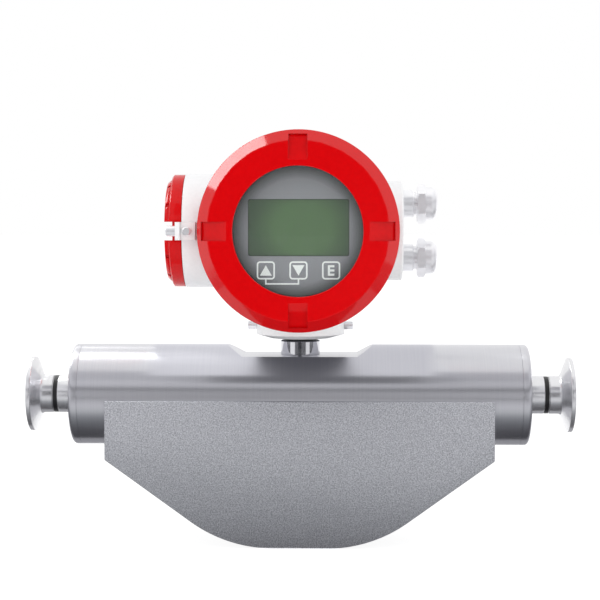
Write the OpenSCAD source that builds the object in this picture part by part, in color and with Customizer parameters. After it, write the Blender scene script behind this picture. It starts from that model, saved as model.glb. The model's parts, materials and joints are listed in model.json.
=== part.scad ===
// Twin-tube mass flow meter: a welded stainless sensor with clamp ferrules on its ends, and a
// round two-compartment transmitter head that turns on the sensor's neck.
// Millimetres. The origin is the centre of the inlet ferrule's face, the pipe runs along +X,
// +Z is up and the display looks towards -Y.

/* [Pipe ends] */
// Distance between the two ferrule faces
face_to_face = 366; // [356:1:396]
// Outside diameter of the clamp ferrules
ferrule_d = 50.5; // [48:0.5:54]
// Thickness of the ferrule rim at its edge
ferrule_rim = 2.85; // [2.2:0.05:3.6]
// Length of a ferrule from its face to the seal groove
ferrule_length = 15.3; // [13:0.1:18]
// Slope of the back of the ferrule rim, in degrees
ferrule_slope = 20; // [15:1:25]
// Outside diameter of the pipe stubs
pipe_d = 25.7; // [24.6:0.1:27]
// Bore of the pipe ends
pipe_bore = 22.1; // [20:0.1:22.6]
// Width of the groove for the seal between stub and ferrule
joint_groove_w = 3.4; // [2.6:0.1:4.4]
// Depth of that groove
joint_groove_depth = 0.9; // [0.6:0.1:1.1]
// Mean diameter of the gasket groove in the ferrule face
gasket_groove_d = 43.5; // [41:0.5:45]
// Depth of the gasket groove
gasket_groove_depth = 1.3; // [0.8:0.1:1.6]

/* [Sensor tube] */
// Outside diameter of the sensor tube
tube_d = 68; // [66:0.5:74]
// Length of the sensor tube with its end caps
tube_length = 306.6; // [300:0.2:312]
// Wall of the sensor tube
tube_wall = 2.5; // [2:0.1:3.2]
// Thickness of the end caps
cap_t = 6; // [4.5:0.5:8]
// Radius on the edge of the end caps
cap_edge_r = 2.5; // [1:0.1:3.5]
// How far the flat under the neck lies below the top of the tube
recess_depth = 6.8; // [5:0.1:8]
// Length of that flat along the pipe
recess_flat = 77; // [66:1:90]
// Length of the slope at each end of the flat
recess_run = 10.4; // [7:0.1:14]

/* [Sensor case] */
// Width of the case along the pipe
case_w = 257; // [246:1:268]
// How far the case reaches below the pipe axis
case_drop = 98.4; // [95:0.2:104]
// Height of the upright sides' lower corners below the pipe axis
case_side_drop = 40; // [37:0.5:42]
// Sheet thickness of the case
case_sheet = 2; // [1.5:0.1:2.5]
// Slope of the case's lower flanks, in degrees
case_slope = 35.8; // [34:0.2:37]
// Radius between the flanks and the bottom
case_blend_r = 93; // [80:1:100]
// Gap between the pipe axis and the plates' top edges
case_top_drop = 1; // [0.5:0.1:3]

/* [Flow tubes] */
// Outside diameter of a flow tube
flow_d = 12.7; // [12:0.1:13.4]
// Wall of a flow tube
flow_wall = 1; // [0.8:0.05:1.3]
// Distance between the two flow tubes' axes
flow_pitch = 28; // [27:0.5:29]
// How far the flow tubes hang below the pipe axis
flow_drop = 76; // [72:0.5:80]
// Distance of the flow tubes' upper bends from the middle
flow_corner = 106; // [103:0.5:108]
// Slope of the flow tubes' legs, in degrees
flow_slope = 45; // [43:0.5:47]
// Centre-line radius of the upper bends
bend_upper_r = 25; // [22:1:28]
// Centre-line radius of the lower bends
bend_lower_r = 40; // [36:1:44]
// Length of the flow splitters
splitter_length = 18; // [16:0.5:20]
// Thickness of the brace plates
brace_t = 1.5; // [1:0.1:2]

/* [Drive and pickoffs] */
// Outside diameter of the coils
coil_d = 16; // [15:0.5:18]
// Bore of the coils
coil_bore = 8; // [7.6:0.1:9]
// Diameter of the magnets
magnet_d = 6.4; // [5.5:0.1:6.8]
// Distance of the pickoffs down the legs from the upper bends
pickoff_way = 58; // [52:1:64]

/* [Neck] */
// Outside diameter of the neck collar
neck_d = 26.5; // [25:0.5:30]
// Height of the neck collar above the flat
neck_rise = 9.7; // [8:0.1:12]
// Diameter of the spigot that the transmitter turns on
spigot_d = 19; // [18:0.2:20]
// Length of the spigot above the collar
spigot_length = 19; // [17:0.5:21]
// Bore for the wires through the neck
neck_bore = 14; // [12:0.5:15]
// Diameter of the neck gasket
neck_gasket_d = 22.4; // [21.5:0.1:24]
// Thickness of the neck gasket
neck_gasket_t = 1.9; // [1.2:0.1:2.6]

/* [Transmitter housing] */
// Height of the transmitter's axis above the pipe axis
head_z = 111; // [108:0.5:120]
// Outside diameter of the main drum
drum_d = 124; // [122:0.5:125]
// Depth of the main drum behind the transmitter's axis
drum_back = 50; // [46:1:60]
// Radius of the main drum's rear edge
drum_edge_r = 9; // [4:0.5:12]
// Wall of the housing inside the front cover's thread
thread_wall = 5; // [4:0.25:6]
// Thickness of the drum's rear wall
rear_wall = 5; // [4:0.5:7]
// Diameter of the terminal drum on the left
terminal_d = 76.6; // [75:0.2:78]
// Wall of the terminal drum behind the terminal cover's thread
terminal_wall = 5.3; // [4.5:0.1:6]
// Distance of the terminal drum's mouth from the middle
terminal_reach = 76.7; // [75:0.1:80]
// Distance of the terminal compartment's floor from the middle
terminal_floor = 60; // [58.5:0.5:61]
// Diameter of the gland boss on the right
boss_d = 67; // [64:0.5:70]
// Distance of the gland boss's face from the middle
boss_reach = 68.5; // [67:0.5:74]
// Diameter of the foot
foot_d = 59.4; // [56:0.2:62]
// Diameter of the foot's underside
foot_base_d = 41; // [36:0.5:46]
// Height of the slope under the foot
foot_slope_h = 2.6; // [1.5:0.1:4]

/* [Front cover] */
// How far the front cover stands out over the main drum
cover_overhang = 3.2; // [2:0.1:5]
// Width of the sloping band round the cover's front face
cover_slope_w = 7.1; // [5:0.1:8]
// Distance of the front face from the transmitter's axis
cover_front = 64; // [62:0.5:68]
// Height of the sloping band round the front face
cover_slope_h = 10; // [8:0.5:11]
// Distance of the cover's rear edge from the transmitter's axis
cover_rear = 40; // [39.5:0.1:42]
// Diameter of the window opening
window_d = 83.4; // [80:0.2:86]
// Step from the main drum down to the thread that carries the cover
cover_step = 4; // [3.5:0.25:5]
// Thickness of the window glass
glass_t = 4; // [3:0.25:5]
// Width of the four wrench slots in the covers
slot_w = 12.1; // [10:0.1:13]
// Width of the rim left outside the front cover's slots
slot_rim = 3.2; // [2.4:0.1:4]
// Depth of the slots at their outer ends
slot_depth = 7.5; // [6.5:0.25:9]
// Distance from the window to the inner ends of the slots
slot_inset = 4; // [2.5:0.25:6]
// Depth of the flats on the sloping band
grip_flat_depth = 0.8; // [0.4:0.1:1.1]

/* [Terminal cover] */
// How far the terminal cover's band lies inside the terminal drum's outside
lid_inset = 0.2; // [0:0.1:1]
// Width of the band
lid_band = 8.3; // [7:0.1:10]
// Step from the band in to the raised ring on the terminal cover
lid_ring_step = 3.8; // [3:0.1:5]
// Height of the raised ring
lid_ring_h = 3.3; // [2.5:0.1:4.5]
// Step from the terminal drum's outside down to the terminal cover's thread
lid_thread_step = 3.7; // [3:0.1:4]
// Length of the terminal cover's thread
lid_thread_length = 8; // [6.5:0.25:9]
// How far the terminal cover's middle lies below the raised ring
lid_dish = 5.5; // [4:0.25:6]

/* [Cable glands] */
// Distance between the two glands' axes
gland_pitch = 36.2; // [34:0.2:38]
// Diameter of the gland collar
gland_collar_d = 18.7; // [18:0.1:20]
// Length of the gland collar
gland_collar = 7.6; // [6:0.1:9]
// Diameter of the gland's two threads
gland_thread_d = 16; // [15.6:0.1:16.6]
// Gap between the collar and the dome nut
gland_gap = 2.4; // [1.5:0.1:3]
// Width of the dome nut's hexagon across its flats
gland_hex_af = 22.8; // [22:0.1:25]
// Length of the hexagon
gland_hex = 5.7; // [4.5:0.1:7]
// Diameter of the dome
gland_dome_d = 22.4; // [21:0.1:22.6]
// Length of the dome
gland_dome = 8; // [7:0.1:10]
// Bore of the seal, which takes the cable
cable_d = 8; // [6:0.1:9]

/* [Display] */
// Distance of the display panel's face from the transmitter's axis
panel_front = 46; // [45:0.25:48]
// Width of the screen opening
screen_w = 65.6; // [60:0.2:68]
// Height of the screen opening
screen_h = 36.9; // [34:0.1:40]
// Height of the screen's middle above the transmitter's axis
screen_rise = 2.3; // [0:0.1:4]
// Depth of the liquid crystal module
lcd_depth = 6.5; // [5:0.25:8]
// Width of a key mark
key_w = 11.8; // [10:0.1:12.5]
// Distance between the key marks
key_pitch = 21.1; // [19:0.1:22]
// Distance of the key marks below the transmitter's axis
key_drop = 25.3; // [24:0.1:26]
// Line width of the key marks
key_line = 1.05; // [0.7:0.05:1.3]
// Distance between the circuit boards
board_pitch = 24; // [20:0.5:25]
// Step of the grid that the boards' parts are set on
board_grid = 2; // [1.8:0.1:2.1]
// Thickness of the circuit boards
board_t = 1.6; // [1.2:0.1:2]

/* [Hidden] */

$fn = 96;

// Clearances
slip = 0.05;      // radial gap of pieces that are soldered, glued or pressed home
run_gap = 0.08;   // radial gap of pieces that turn or slide in each other
cut = 1;          // how far a cutter runs past the face that it opens

bend_lap = 0.5;   // how far a flow tube's straight stretches run on into its bends
bend_swell = 0.04; // extra diameter of the bends, which the bending leaves

// Places along the pipe, from the middle of the meter
mid_x = face_to_face / 2;
tube_end = tube_length / 2;
cap_inner = tube_end - cap_t;
splitter_inner = cap_inner - splitter_length;
splitter_socket = 5;
splitter_angle = 28;
flow_end = splitter_inner + splitter_socket;
stub_end = mid_x - ferrule_length;
tube_r = tube_d / 2;
tube_inner_r = tube_r - tube_wall;
flow_bore = flow_d - 2 * flow_wall;

// Case
case_vee_x = case_w / 2 - (case_drop - case_side_drop) / tan(case_slope);
case_flat_half = case_vee_x - case_blend_r * tan(case_slope / 2);
case_slot_half = case_w / 2 - 14;
case_slot_w = flow_pitch + flow_d + 14;
case_slot_top = 10;
case_strip_top = 6;    // where the edge strip starts, below its feather edge on the tube

// Flow tube path
flow_run = flow_drop / tan(flow_slope);
flow_vee = flow_corner - flow_run;
upper_tangent = bend_upper_r * tan(flow_slope / 2);
lower_tangent = bend_lower_r * tan(flow_slope / 2);
leg_length = flow_drop / sin(flow_slope);

// Neck
flat_z = tube_r - recess_depth;
collar_top = flat_z + neck_rise;
foot_z = collar_top + neck_gasket_t;
spigot_top = collar_top + spigot_length;
clamp_z = foot_z + foot_slope_h + 5.6;
clamp_groove_depth = 0.6;
clamp_shank_d = 4;
clamp_head_d = 5.4;
clamp_head = 6;
pilot_d = 16;
pilot_length = 2.4;

// Housing
drum_r = drum_d / 2;
cover_thread_d = drum_d - 2 * cover_step;
cavity_d = cover_thread_d - 2 * thread_wall;
cavity_r = cavity_d / 2;
shoulder = cover_rear - 0.5;
thread_length = 12.5;
thread_front = cover_rear + thread_length;
cover_thread_r = cover_thread_d / 2;
cavity_floor = -drum_back + rear_wall;
terminal_bore_d = terminal_d - 2 * terminal_wall;
lid_d = terminal_d - 2 * lid_inset;
lid_ring_d = lid_d - 2 * lid_ring_step;
lid_thread_d = terminal_d - 2 * lid_thread_step;
lid_rear = terminal_reach + 0.3;
lid_front = lid_rear + lid_band;
lid_seal_d = 1.5;
gland_z = gland_pitch / 2;
gland_thread_length = 12;

// Lock of the terminal cover: its screw clamps a slotted plate on a pad of the housing,
// and the plate moved inwards stands in a slot of the cover
lock_w = slot_w - 0.3;
lock_plate_t = 3.2;
lock_head_d = 6.9;
lock_head = 6.5;
lock_shank_d = 4;
lock_thread = 2.7;
lock_screw_y = (lid_d + lock_head_d) / 2 + 0.4;
lock_pad_front = lock_screw_y + 3.2;
lock_travel = lid_ring_step - 0.8;
lock_plate_in = lid_d / 2 + 0.3;
lock_plate_out = lock_pad_front + lock_travel;
lock_pad_length = 9.7;
lock_pad_end = terminal_reach - lock_pad_length;

earth_inset = 4.7;
earth_x = terminal_reach - earth_inset;
earth_d = 5.3;
earth_proud = 8.3;
earth_shank_d = 3;
earth_shank = 4;

// Front cover
cover_d = drum_d + 2 * cover_overhang;
cover_face_d = cover_d - 2 * cover_slope_w;
cover_r = cover_d / 2;
glass_front = cover_front - 3.6;
glass_back = glass_front - glass_t;
glass_r = window_d / 2 + 5;
retainer_t = 2.8;
cover_seat = thread_front + 0.8;
seal_d = 2;

// Display
board_gap = 2;
panel_gap = 0.6;
board_r = cavity_r - board_gap;
panel_r = cavity_r - panel_gap;
panel_t = 2;
panel_back = panel_front - panel_t;
display_board_y = panel_back - lcd_depth - board_t;
main_board_y = display_board_y - board_pitch;
power_board_y = main_board_y - board_pitch;
post_inset = 4.2;
post_radius = board_r - post_inset;
post_af = 6;
post_stud_d = 3;
mark_t = 0.25;
lcd_border = 2.5;
key_corner = 2.2;

// Terminals
terminal_count = 8;
terminal_pitch = 6;
block_h = 12;
block_w = 15;

// Glands, measured from the boss's face
gland_nut_start = gland_collar + gland_gap;
gland_nut_end = gland_nut_start + gland_hex + gland_dome;
gland_body_end = gland_nut_start + 8;
gland_washer_end = gland_nut_end - 3.2;
gland_washer_t = 0.9;
gland_body_bore = cable_d + 2;
gland_seal_pocket_d = cable_d + 5;
gland_seal_head = gland_washer_end - gland_washer_t - gland_body_end - 0.1;
gland_seal_back = gland_body_end - 7.5;

red = [0.86, 0.03, 0.07];
white = [0.93, 0.94, 0.94];
steel = [0.74, 0.75, 0.77];
blasted = [0.60, 0.61, 0.63];
nickel = [0.80, 0.81, 0.82];
black = [0.06, 0.06, 0.07];
panel_grey = [0.42, 0.43, 0.45];
board_green = [0.05, 0.32, 0.16];
copper = [0.72, 0.38, 0.18];

// ---------------------------------------------------------------- helpers

// The middle of the meter, on the pipe axis
module at_middle() translate([mid_x, 0, 0]) children();

// The transmitter's axis
module at_head() translate([mid_x, 0, head_z]) children();

// Round bar along X between two places
module bar_x(from, to, d)
    translate([min(from, to), 0, 0]) rotate([0, 90, 0]) cylinder(h = abs(to - from), d = d);

// Round bar along Z
module bar_z(from, to, d)
    translate([0, 0, from]) cylinder(h = to - from, d = d);

// Turned shape about X. Profile points are [radius, x].
module turn_x(profile) rotate([0, 90, 0]) rotate_extrude() polygon(profile);

// Turned shape about the line of sight. Profile points are [radius, distance to the front].
module turn_front(profile) rotate([90, 0, 0]) rotate_extrude() polygon(profile);

// Places its children on the front side, with their own Z pointing to the front
module facing_front(y) rotate([90, 0, 0]) translate([0, 0, y]) children();

// Turns the meter's outlet end into its inlet end
module inlet_side() mirror([1, 0, 0]) children();

// Flat rectangle with rounded corners, about its middle
module rounded_rect(w, h, r)
    offset(r = r, $fn = 24) square([w - 2 * r, h - 2 * r], center = true);

// ---------------------------------------------------------------- pipe ends

// Clamp ferrule of the outlet end: rim with a sloping back, neck and gasket groove
module ferrule_shape() {
    rim_r = ferrule_d / 2;
    neck_r = pipe_d / 2;
    slope_run = (rim_r - neck_r) * tan(ferrule_slope);
    groove_r = 1.6;
    difference() {
        turn_x([
            [pipe_bore / 2, stub_end], [neck_r, stub_end],
            [neck_r, mid_x - ferrule_rim - slope_run - 1.5], [neck_r + 0.8, mid_x - ferrule_rim - slope_run],
            [rim_r - 0.3, mid_x - ferrule_rim], [rim_r, mid_x - ferrule_rim + 0.4],
            [rim_r, mid_x - 0.3], [rim_r - 0.3, mid_x], [pipe_bore / 2, mid_x]
        ]);
        rotate([0, 90, 0]) rotate_extrude() translate([gasket_groove_d / 2, mid_x + groove_r - gasket_groove_depth])
            circle(r = groove_r, $fn = 48);
    }
}

// Pipe stub of the outlet end, from the splitter to the ferrule
module stub_shape() {
    outer = pipe_d / 2;
    neck = outer - joint_groove_depth;
    groove_inner = stub_end - joint_groove_w;
    turn_x([
        [pipe_bore / 2, cap_inner], [outer, cap_inner], [outer, groove_inner - 0.4],
        [outer - 0.4, groove_inner], [neck, groove_inner], [neck, stub_end], [pipe_bore / 2, stub_end]
    ]);
}

// Black ring in the groove between stub and ferrule
module joint_seal_shape() {
    inner = pipe_d / 2 - joint_groove_depth + slip;
    outer = pipe_d / 2 - 0.3;
    difference() {
        bar_x(stub_end - joint_groove_w + 0.3, stub_end - 0.6, 2 * outer);
        bar_x(stub_end - joint_groove_w - cut, stub_end + cut, 2 * inner);
    }
}

module inlet_ferrule() color(steel) at_middle() inlet_side() ferrule_shape();
module outlet_ferrule() color(steel) at_middle() ferrule_shape();
module inlet_stub() color(steel) at_middle() inlet_side() stub_shape();
module outlet_stub() color(steel) at_middle() stub_shape();
module inlet_joint_seal() color(black) at_middle() inlet_side() joint_seal_shape();
module outlet_joint_seal() color(black) at_middle() joint_seal_shape();

// ---------------------------------------------------------------- sensor tube

// Profile of the recess under the neck, seen from the front, lowered by drop
module recess_cutter(drop) {
    top = tube_r + cut;
    slope = recess_depth / recess_run;
    floor_half = recess_flat / 2;
    rotate([90, 0, 0]) linear_extrude(tube_d + 2, center = true) polygon([
        [-floor_half, flat_z - drop], [floor_half, flat_z - drop],
        [floor_half + (recess_depth + cut + drop) / slope, top],
        [-floor_half - (recess_depth + cut + drop) / slope, top]
    ]);
}

// Round tube with a formed flat on top and a long slot below for the flow tubes
module sensor_tube() color(steel) at_middle() difference() {
    bar_x(-cap_inner, cap_inner, tube_d);
    recess_cutter(0);
    difference() {
        bar_x(-cap_inner - cut, cap_inner + cut, 2 * tube_inner_r);
        recess_cutter(tube_wall);
    }
    translate([-case_slot_half, -case_slot_w / 2, -tube_d])
        cube([2 * case_slot_half, case_slot_w, tube_d - case_slot_top]);
    bar_z(0, tube_d, pilot_d + 2 * slip);
}

// Turned end cap with a rounded edge, welded round the stub
module end_cap_shape() {
    stub_r = pipe_d / 2 + slip;
    centre = [tube_r - cap_edge_r, tube_end - cap_edge_r];
    turn_x(concat(
        [[stub_r, cap_inner], [tube_r, cap_inner]],
        [for (i = [0:8]) centre + cap_edge_r * [cos(i * 90 / 8), sin(i * 90 / 8)]],
        [[stub_r, tube_end]]
    ));
}

module inlet_end_cap() color(steel) at_middle() inlet_side() end_cap_shape();
module outlet_end_cap() color(steel) at_middle() end_cap_shape();

// ---------------------------------------------------------------- sensor case

// Outline of the case seen from the front: upright sides, sloping flanks and a flat bottom
module case_outline() {
    half = case_w / 2;
    steps = 20;
    arc_z = -case_drop + case_blend_r;
    right = [for (i = [0:steps])
        [case_flat_half, arc_z] + case_blend_r * [sin(i * case_slope / steps), -cos(i * case_slope / steps)]];
    polygon(concat(
        right,
        [[half, -case_side_drop], [half, -case_top_drop], [-half, -case_top_drop], [-half, -case_side_drop]],
        [for (i = [steps:-1:0]) [-right[i][0], right[i][1]]]
    ));
}

// One side plate, with its outer face at the front
module case_plate_shape()
    facing_front(tube_r) linear_extrude(case_sheet) case_outline();

// Bent strip that closes the case between the plates and fits round the tube
module case_edge_strip() color(blasted) at_middle() difference() {
    facing_front(-tube_r) linear_extrude(tube_d) difference() {
        case_outline();
        offset(delta = -case_sheet) case_outline();
    }
    bar_x(-case_w, case_w, tube_d + 2 * slip);
    translate([-case_w / 2 + case_sheet, -tube_d, -case_side_drop / 2])
        cube([case_w - 2 * case_sheet, 2 * tube_d, case_side_drop]);
    translate([-case_w, -tube_d, -case_strip_top]) cube([2 * case_w, 2 * tube_d, tube_d]);
}

module case_front_plate() color(blasted) at_middle() case_plate_shape();
module case_back_plate() color(blasted) at_middle() mirror([0, 1, 0]) case_plate_shape();

// ---------------------------------------------------------------- flow tubes

// Bend in the flow tube's plane, round a centre [x, z], from an angle onwards
module bend(centre, r, from, d)
    translate([centre[0], 0, centre[1]]) rotate([90, 0, 0]) rotate([0, 0, from])
        rotate_extrude(angle = flow_slope) translate([r, 0]) circle(d = d, $fn = 48);

// Frame of the outlet leg: +X runs down the leg from the upper bend's corner, -Z faces inwards
module on_leg(way)
    translate([flow_corner, 0, 0]) rotate([0, 180 - flow_slope, 0]) translate([way, 0, 0]) children();

// Solid bar along the outlet half of a flow tube's path
module half_path(d, overrun) {
    bend_d = d + bend_swell;
    upper_x = flow_corner + upper_tangent;
    lower_x = flow_vee - lower_tangent;
    leg = leg_length - upper_tangent - lower_tangent;
    bar_x(upper_x - bend_lap, flow_end + overrun, d);
    bend([upper_x, -bend_upper_r], bend_upper_r, 90, bend_d);
    on_leg(upper_tangent) bar_x(-bend_lap, leg + bend_lap, d);
    bend([lower_x, -flow_drop + bend_lower_r], bend_lower_r, -90, bend_d);
    translate([0, 0, -flow_drop]) bar_x(0, lower_x + bend_lap, d);
}

module flow_path(d, overrun = 0) {
    half_path(d, overrun);
    inlet_side() half_path(d, overrun);
}

module flow_tube_shape(side) translate([0, side * flow_pitch / 2, 0]) difference() {
    flow_path(flow_d);
    flow_path(flow_bore, cut);
}

module front_flow_tube() color(steel) at_middle() flow_tube_shape(-1);
module back_flow_tube() color(steel) at_middle() flow_tube_shape(1);

// Turned block that divides the outlet's bore between the two flow tubes
module splitter_shape() difference() {
    bar_x(splitter_inner, cap_inner, 2 * (tube_inner_r - slip));
    bar_x(cap_inner - 2.5, cap_inner + cut, pipe_bore);
    for (side = [-1, 1]) translate([flow_end, side * flow_pitch / 2, 0]) {
        bar_x(-splitter_socket - cut, 0, flow_d + 2 * slip);
        rotate([0, 0, -side * splitter_angle]) bar_x(-1.5, splitter_length - splitter_socket, flow_bore);
    }
}

module inlet_splitter() color(steel) at_middle() inlet_side() splitter_shape();
module outlet_splitter() color(steel) at_middle() splitter_shape();

// Plate that ties the two flow tubes together, square to local X
module brace_shape() {
    brace_d = flow_d + 9;
    rotate([90, 0, 90]) linear_extrude(brace_t, center = true) difference() {
        union() {
            for (side = [-1, 1]) translate([side * flow_pitch / 2, 0]) circle(d = brace_d);
            square([flow_pitch, 0.72 * brace_d], center = true);
        }
        for (side = [-1, 1]) translate([side * flow_pitch / 2, 0]) circle(d = flow_d + 2 * slip);
    }
}

// Two braces of the outlet end: one beside the splitter, one at the top of the leg
module brace_pair() {
    translate([(flow_corner + upper_tangent + splitter_inner) / 2, 0, 0]) brace_shape();
    on_leg(upper_tangent + 6) brace_shape();
}

module inlet_brace_plates() color(steel) at_middle() inlet_side() brace_pair();
module outlet_brace_plates() color(steel) at_middle() brace_pair();

// ---------------------------------------------------------------- drive and pickoffs

// Coil on the back tube, wound about Y, with a saddle that fits the tube
module coil_shape() {
    flange_r = coil_d / 2;
    wound_r = flange_r - 1.2;
    face = 1.5;
    rotate([-90, 0, 0]) rotate_extrude() polygon([
        [coil_bore / 2, face], [flange_r, face], [flange_r, face + 1], [wound_r, face + 1],
        [wound_r, face + 4.8], [flange_r, face + 4.8], [flange_r, flow_pitch / 2 - 3.2],
        [0, flow_pitch / 2 - 3.2], [0, face + 5], [coil_bore / 2, face + 5]
    ]);
}

// Magnet on the front tube, reaching into the coil's bore
module magnet_shape() {
    base = flow_pitch / 2 - 3.2;
    rotate([90, 0, 0]) rotate_extrude() polygon([
        [0, -4.5], [magnet_d / 2 - 0.4, -4.5], [magnet_d / 2, -4.1], [magnet_d / 2, flow_pitch / 2 - flow_d / 2 - 3],
        [coil_d / 2 - 1, flow_pitch / 2 - flow_d / 2 - 3], [coil_d / 2 - 1, base], [0, base]
    ]);
}

// Cuts the saddle for a flow tube out of its children; the tube runs along local X
module seat_on_tube(side) difference() {
    children();
    translate([0, side * flow_pitch / 2, 0]) bar_x(-coil_d, coil_d, flow_d + 2 * slip);
}

module at_drive() translate([0, 0, -flow_drop]) children();
module at_pickoff() on_leg(pickoff_way) children();

module drive_coil() color(copper) at_middle() at_drive() seat_on_tube(1) coil_shape();
module drive_magnet() color(steel) at_middle() at_drive() seat_on_tube(-1) magnet_shape();
module outlet_pickoff_coil() color(copper) at_middle() at_pickoff() seat_on_tube(1) coil_shape();
module outlet_pickoff_magnet() color(steel) at_middle() at_pickoff() seat_on_tube(-1) magnet_shape();
module inlet_pickoff_coil() color(copper) at_middle() inlet_side() at_pickoff() seat_on_tube(1) coil_shape();
module inlet_pickoff_magnet() color(steel) at_middle() inlet_side() at_pickoff() seat_on_tube(-1) magnet_shape();

// Resistance thermometer: a capsule held on the back tube's inlet leg by a ring
module temperature_sensor() color(steel) at_middle() inlet_side() on_leg(pickoff_way - 26)
    translate([0, flow_pitch / 2, 0]) difference() {
        union() {
            bar_x(-3, 3, flow_d + 2);
            translate([0, 0, -flow_d / 2 - 1.6]) bar_x(-8, 8, 3.4);
        }
        bar_x(-9, 9, flow_d + 2 * slip);
    }

// ---------------------------------------------------------------- neck

// Polished collar, the spigot that the transmitter turns on, and a pilot into the tube
module neck_stem() color(steel) at_middle() difference() {
    union() {
        bar_z(flat_z - pilot_length, flat_z, pilot_d);
        bar_z(flat_z, collar_top - 0.5, neck_d);
        translate([0, 0, collar_top - 0.5]) cylinder(h = 0.5, d1 = neck_d, d2 = neck_d - 1);
        bar_z(collar_top, spigot_top, spigot_d);
    }
    bar_z(flat_z - pilot_length - cut, spigot_top + cut, neck_bore);
    difference() {
        bar_z(clamp_z - clamp_shank_d / 2 - 0.4, clamp_z + clamp_shank_d / 2 + 0.4, spigot_d + cut);
        bar_z(clamp_z - clamp_shank_d, clamp_z + clamp_shank_d, spigot_d - 2 * clamp_groove_depth);
    }
}

// Glass-sealed plug in the neck with the coil wires' pins
module feedthrough() color(nickel) at_middle() {
    plug_top = spigot_top - 3;
    bar_z(plug_top - 6, plug_top, neck_bore - 2 * slip);
    for (i = [0:8]) rotate([0, 0, i * 40]) translate([neck_bore / 2 - 2.2, 0, 0])
        bar_z(plug_top - 11, plug_top + 5, 0.9);
}

// Black ring between the collar and the transmitter's foot
module neck_gasket() color(black) at_middle() difference() {
    bar_z(collar_top + slip, foot_z - slip, neck_gasket_d);
    bar_z(collar_top - cut, foot_z + cut, spigot_d + 2 * run_gap);
}

// ---------------------------------------------------------------- transmitter housing

// Outside of the main drum, with its rear edge rounded and the cover's thread in front
module drum_outside() {
    steps = 10;
    edge = [drum_r - drum_edge_r, -drum_back + drum_edge_r];
    turn_front(concat(
        [[0, -drum_back]],
        [for (i = [0:steps]) edge + drum_edge_r * [sin(i * 90 / steps), -cos(i * 90 / steps)]],
        [[drum_r, shoulder - 1.5], [drum_r - 1.5, shoulder], [cover_thread_r - run_gap, shoulder],
         [cover_thread_r - run_gap, thread_front - 1], [cover_thread_r - run_gap - 1, thread_front],
         [0, thread_front]]
    ));
}

// Cast foot with a sloping underside, in the meter's own height
module foot_outside() translate([0, 0, -head_z]) {
    translate([0, 0, foot_z]) cylinder(h = foot_slope_h, d1 = foot_base_d, d2 = foot_d);
    bar_z(foot_z + foot_slope_h, head_z - cavity_r / 2, foot_d);
}

// Pad beside the terminal cover for the cover's lock and the earth screw
module lock_pad() {
    root = terminal_d / 2 - 4;
    translate([-(terminal_reach + lock_pad_end) / 2, 0, 0]) facing_front(root)
        linear_extrude(lock_pad_front - root) rounded_rect(terminal_reach - lock_pad_end, lock_w, 0.8);
}

module housing() color(white) at_head() difference() {
    union() {
        drum_outside();
        bar_x(-terminal_reach, 0, terminal_d);
        bar_x(0, boss_reach - 1, boss_d);
        translate([boss_reach - 1, 0, 0]) rotate([0, 90, 0]) cylinder(h = 1, d1 = boss_d, d2 = boss_d - 2);
        foot_outside();
        lock_pad();
    }
    // electronics compartment
    facing_front(cavity_floor) cylinder(h = thread_front - cavity_floor + cut, d = cavity_d);
    // terminal compartment, with the terminal cover's thread at its mouth
    bar_x(-terminal_reach - cut, -terminal_floor, terminal_bore_d);
    bar_x(-terminal_reach - cut, -terminal_reach + lid_thread_length + 1.5, lid_thread_d);
    // passage for the wires between the compartments
    translate([0, 0, terminal_bore_d / 2 - 9]) bar_x(-terminal_floor - cut, -20, 8);
    // cable entries
    for (z = [-gland_z, gland_z]) translate([0, 0, z])
        bar_x(boss_reach + cut, 0.7 * cavity_r, gland_thread_d + 2 * slip);
    // bore that turns on the neck's spigot
    translate([0, 0, -head_z]) bar_z(foot_z - cut, head_z - 0.7 * cavity_r, spigot_d + 2 * run_gap);
    // clamp screws, lock screw and earth screw
    translate([0, 0, clamp_z - head_z]) bar_x(-foot_d, foot_d, clamp_shank_d + 2 * slip);
    translate([0, -lock_screw_y, 0])
        bar_x(-terminal_reach - cut, -terminal_reach + lock_thread, lock_shank_d + 2 * slip);
    translate([-earth_x, 0, 0]) facing_front(lock_pad_front - earth_shank)
        cylinder(h = earth_shank + cut, d = earth_shank_d + 2 * slip);
}

// Screw head with a hexagon socket, along +Z, with its seat at the origin
module socket_head(d, h, key) difference() {
    union() {
        cylinder(h = h - 0.5, d = d);
        translate([0, 0, h - 0.5]) cylinder(h = 0.5, d1 = d, d2 = d - 1);
    }
    translate([0, 0, h - 0.5 * h]) cylinder(h = h, d = key, $fn = 6);
}

// Two screws that clamp the housing on the neck; their tips stand in the spigot's groove
module neck_clamp_screws() color(nickel) at_middle() for (side = [-1, 1])
    translate([0, 0, clamp_z]) rotate([0, side * 90, 0]) {
        translate([0, 0, foot_d / 2]) socket_head(clamp_head_d, clamp_head, 3);
        translate([0, 0, spigot_d / 2 - clamp_groove_depth + run_gap])
            cylinder(h = foot_d / 2 - spigot_d / 2 + clamp_groove_depth - run_gap, d = clamp_shank_d);
    }

// Round-headed earth screw on the lock's pad
module earth_screw() color(nickel) at_head() translate([-earth_x, 0, 0])
    facing_front(lock_pad_front) {
        cylinder(h = earth_proud - 0.4, d = earth_d);
        translate([0, 0, earth_proud - 0.4]) cylinder(h = 0.4, d1 = earth_d, d2 = earth_d - 0.8);
        translate([0, 0, -earth_shank]) cylinder(h = earth_shank, d = earth_shank_d);
    }

// Screw that clamps the lock plate
module cover_lock_screw() color(nickel) at_head() rotate([0, -90, 0]) {
    seat = terminal_reach + lock_plate_t + 2 * slip;
    translate([0, -lock_screw_y, seat]) socket_head(lock_head_d, lock_head, 4);
    translate([0, -lock_screw_y, terminal_reach - lock_thread + slip])
        cylinder(h = seat - terminal_reach + lock_thread - slip, d = lock_shank_d);
}

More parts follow.
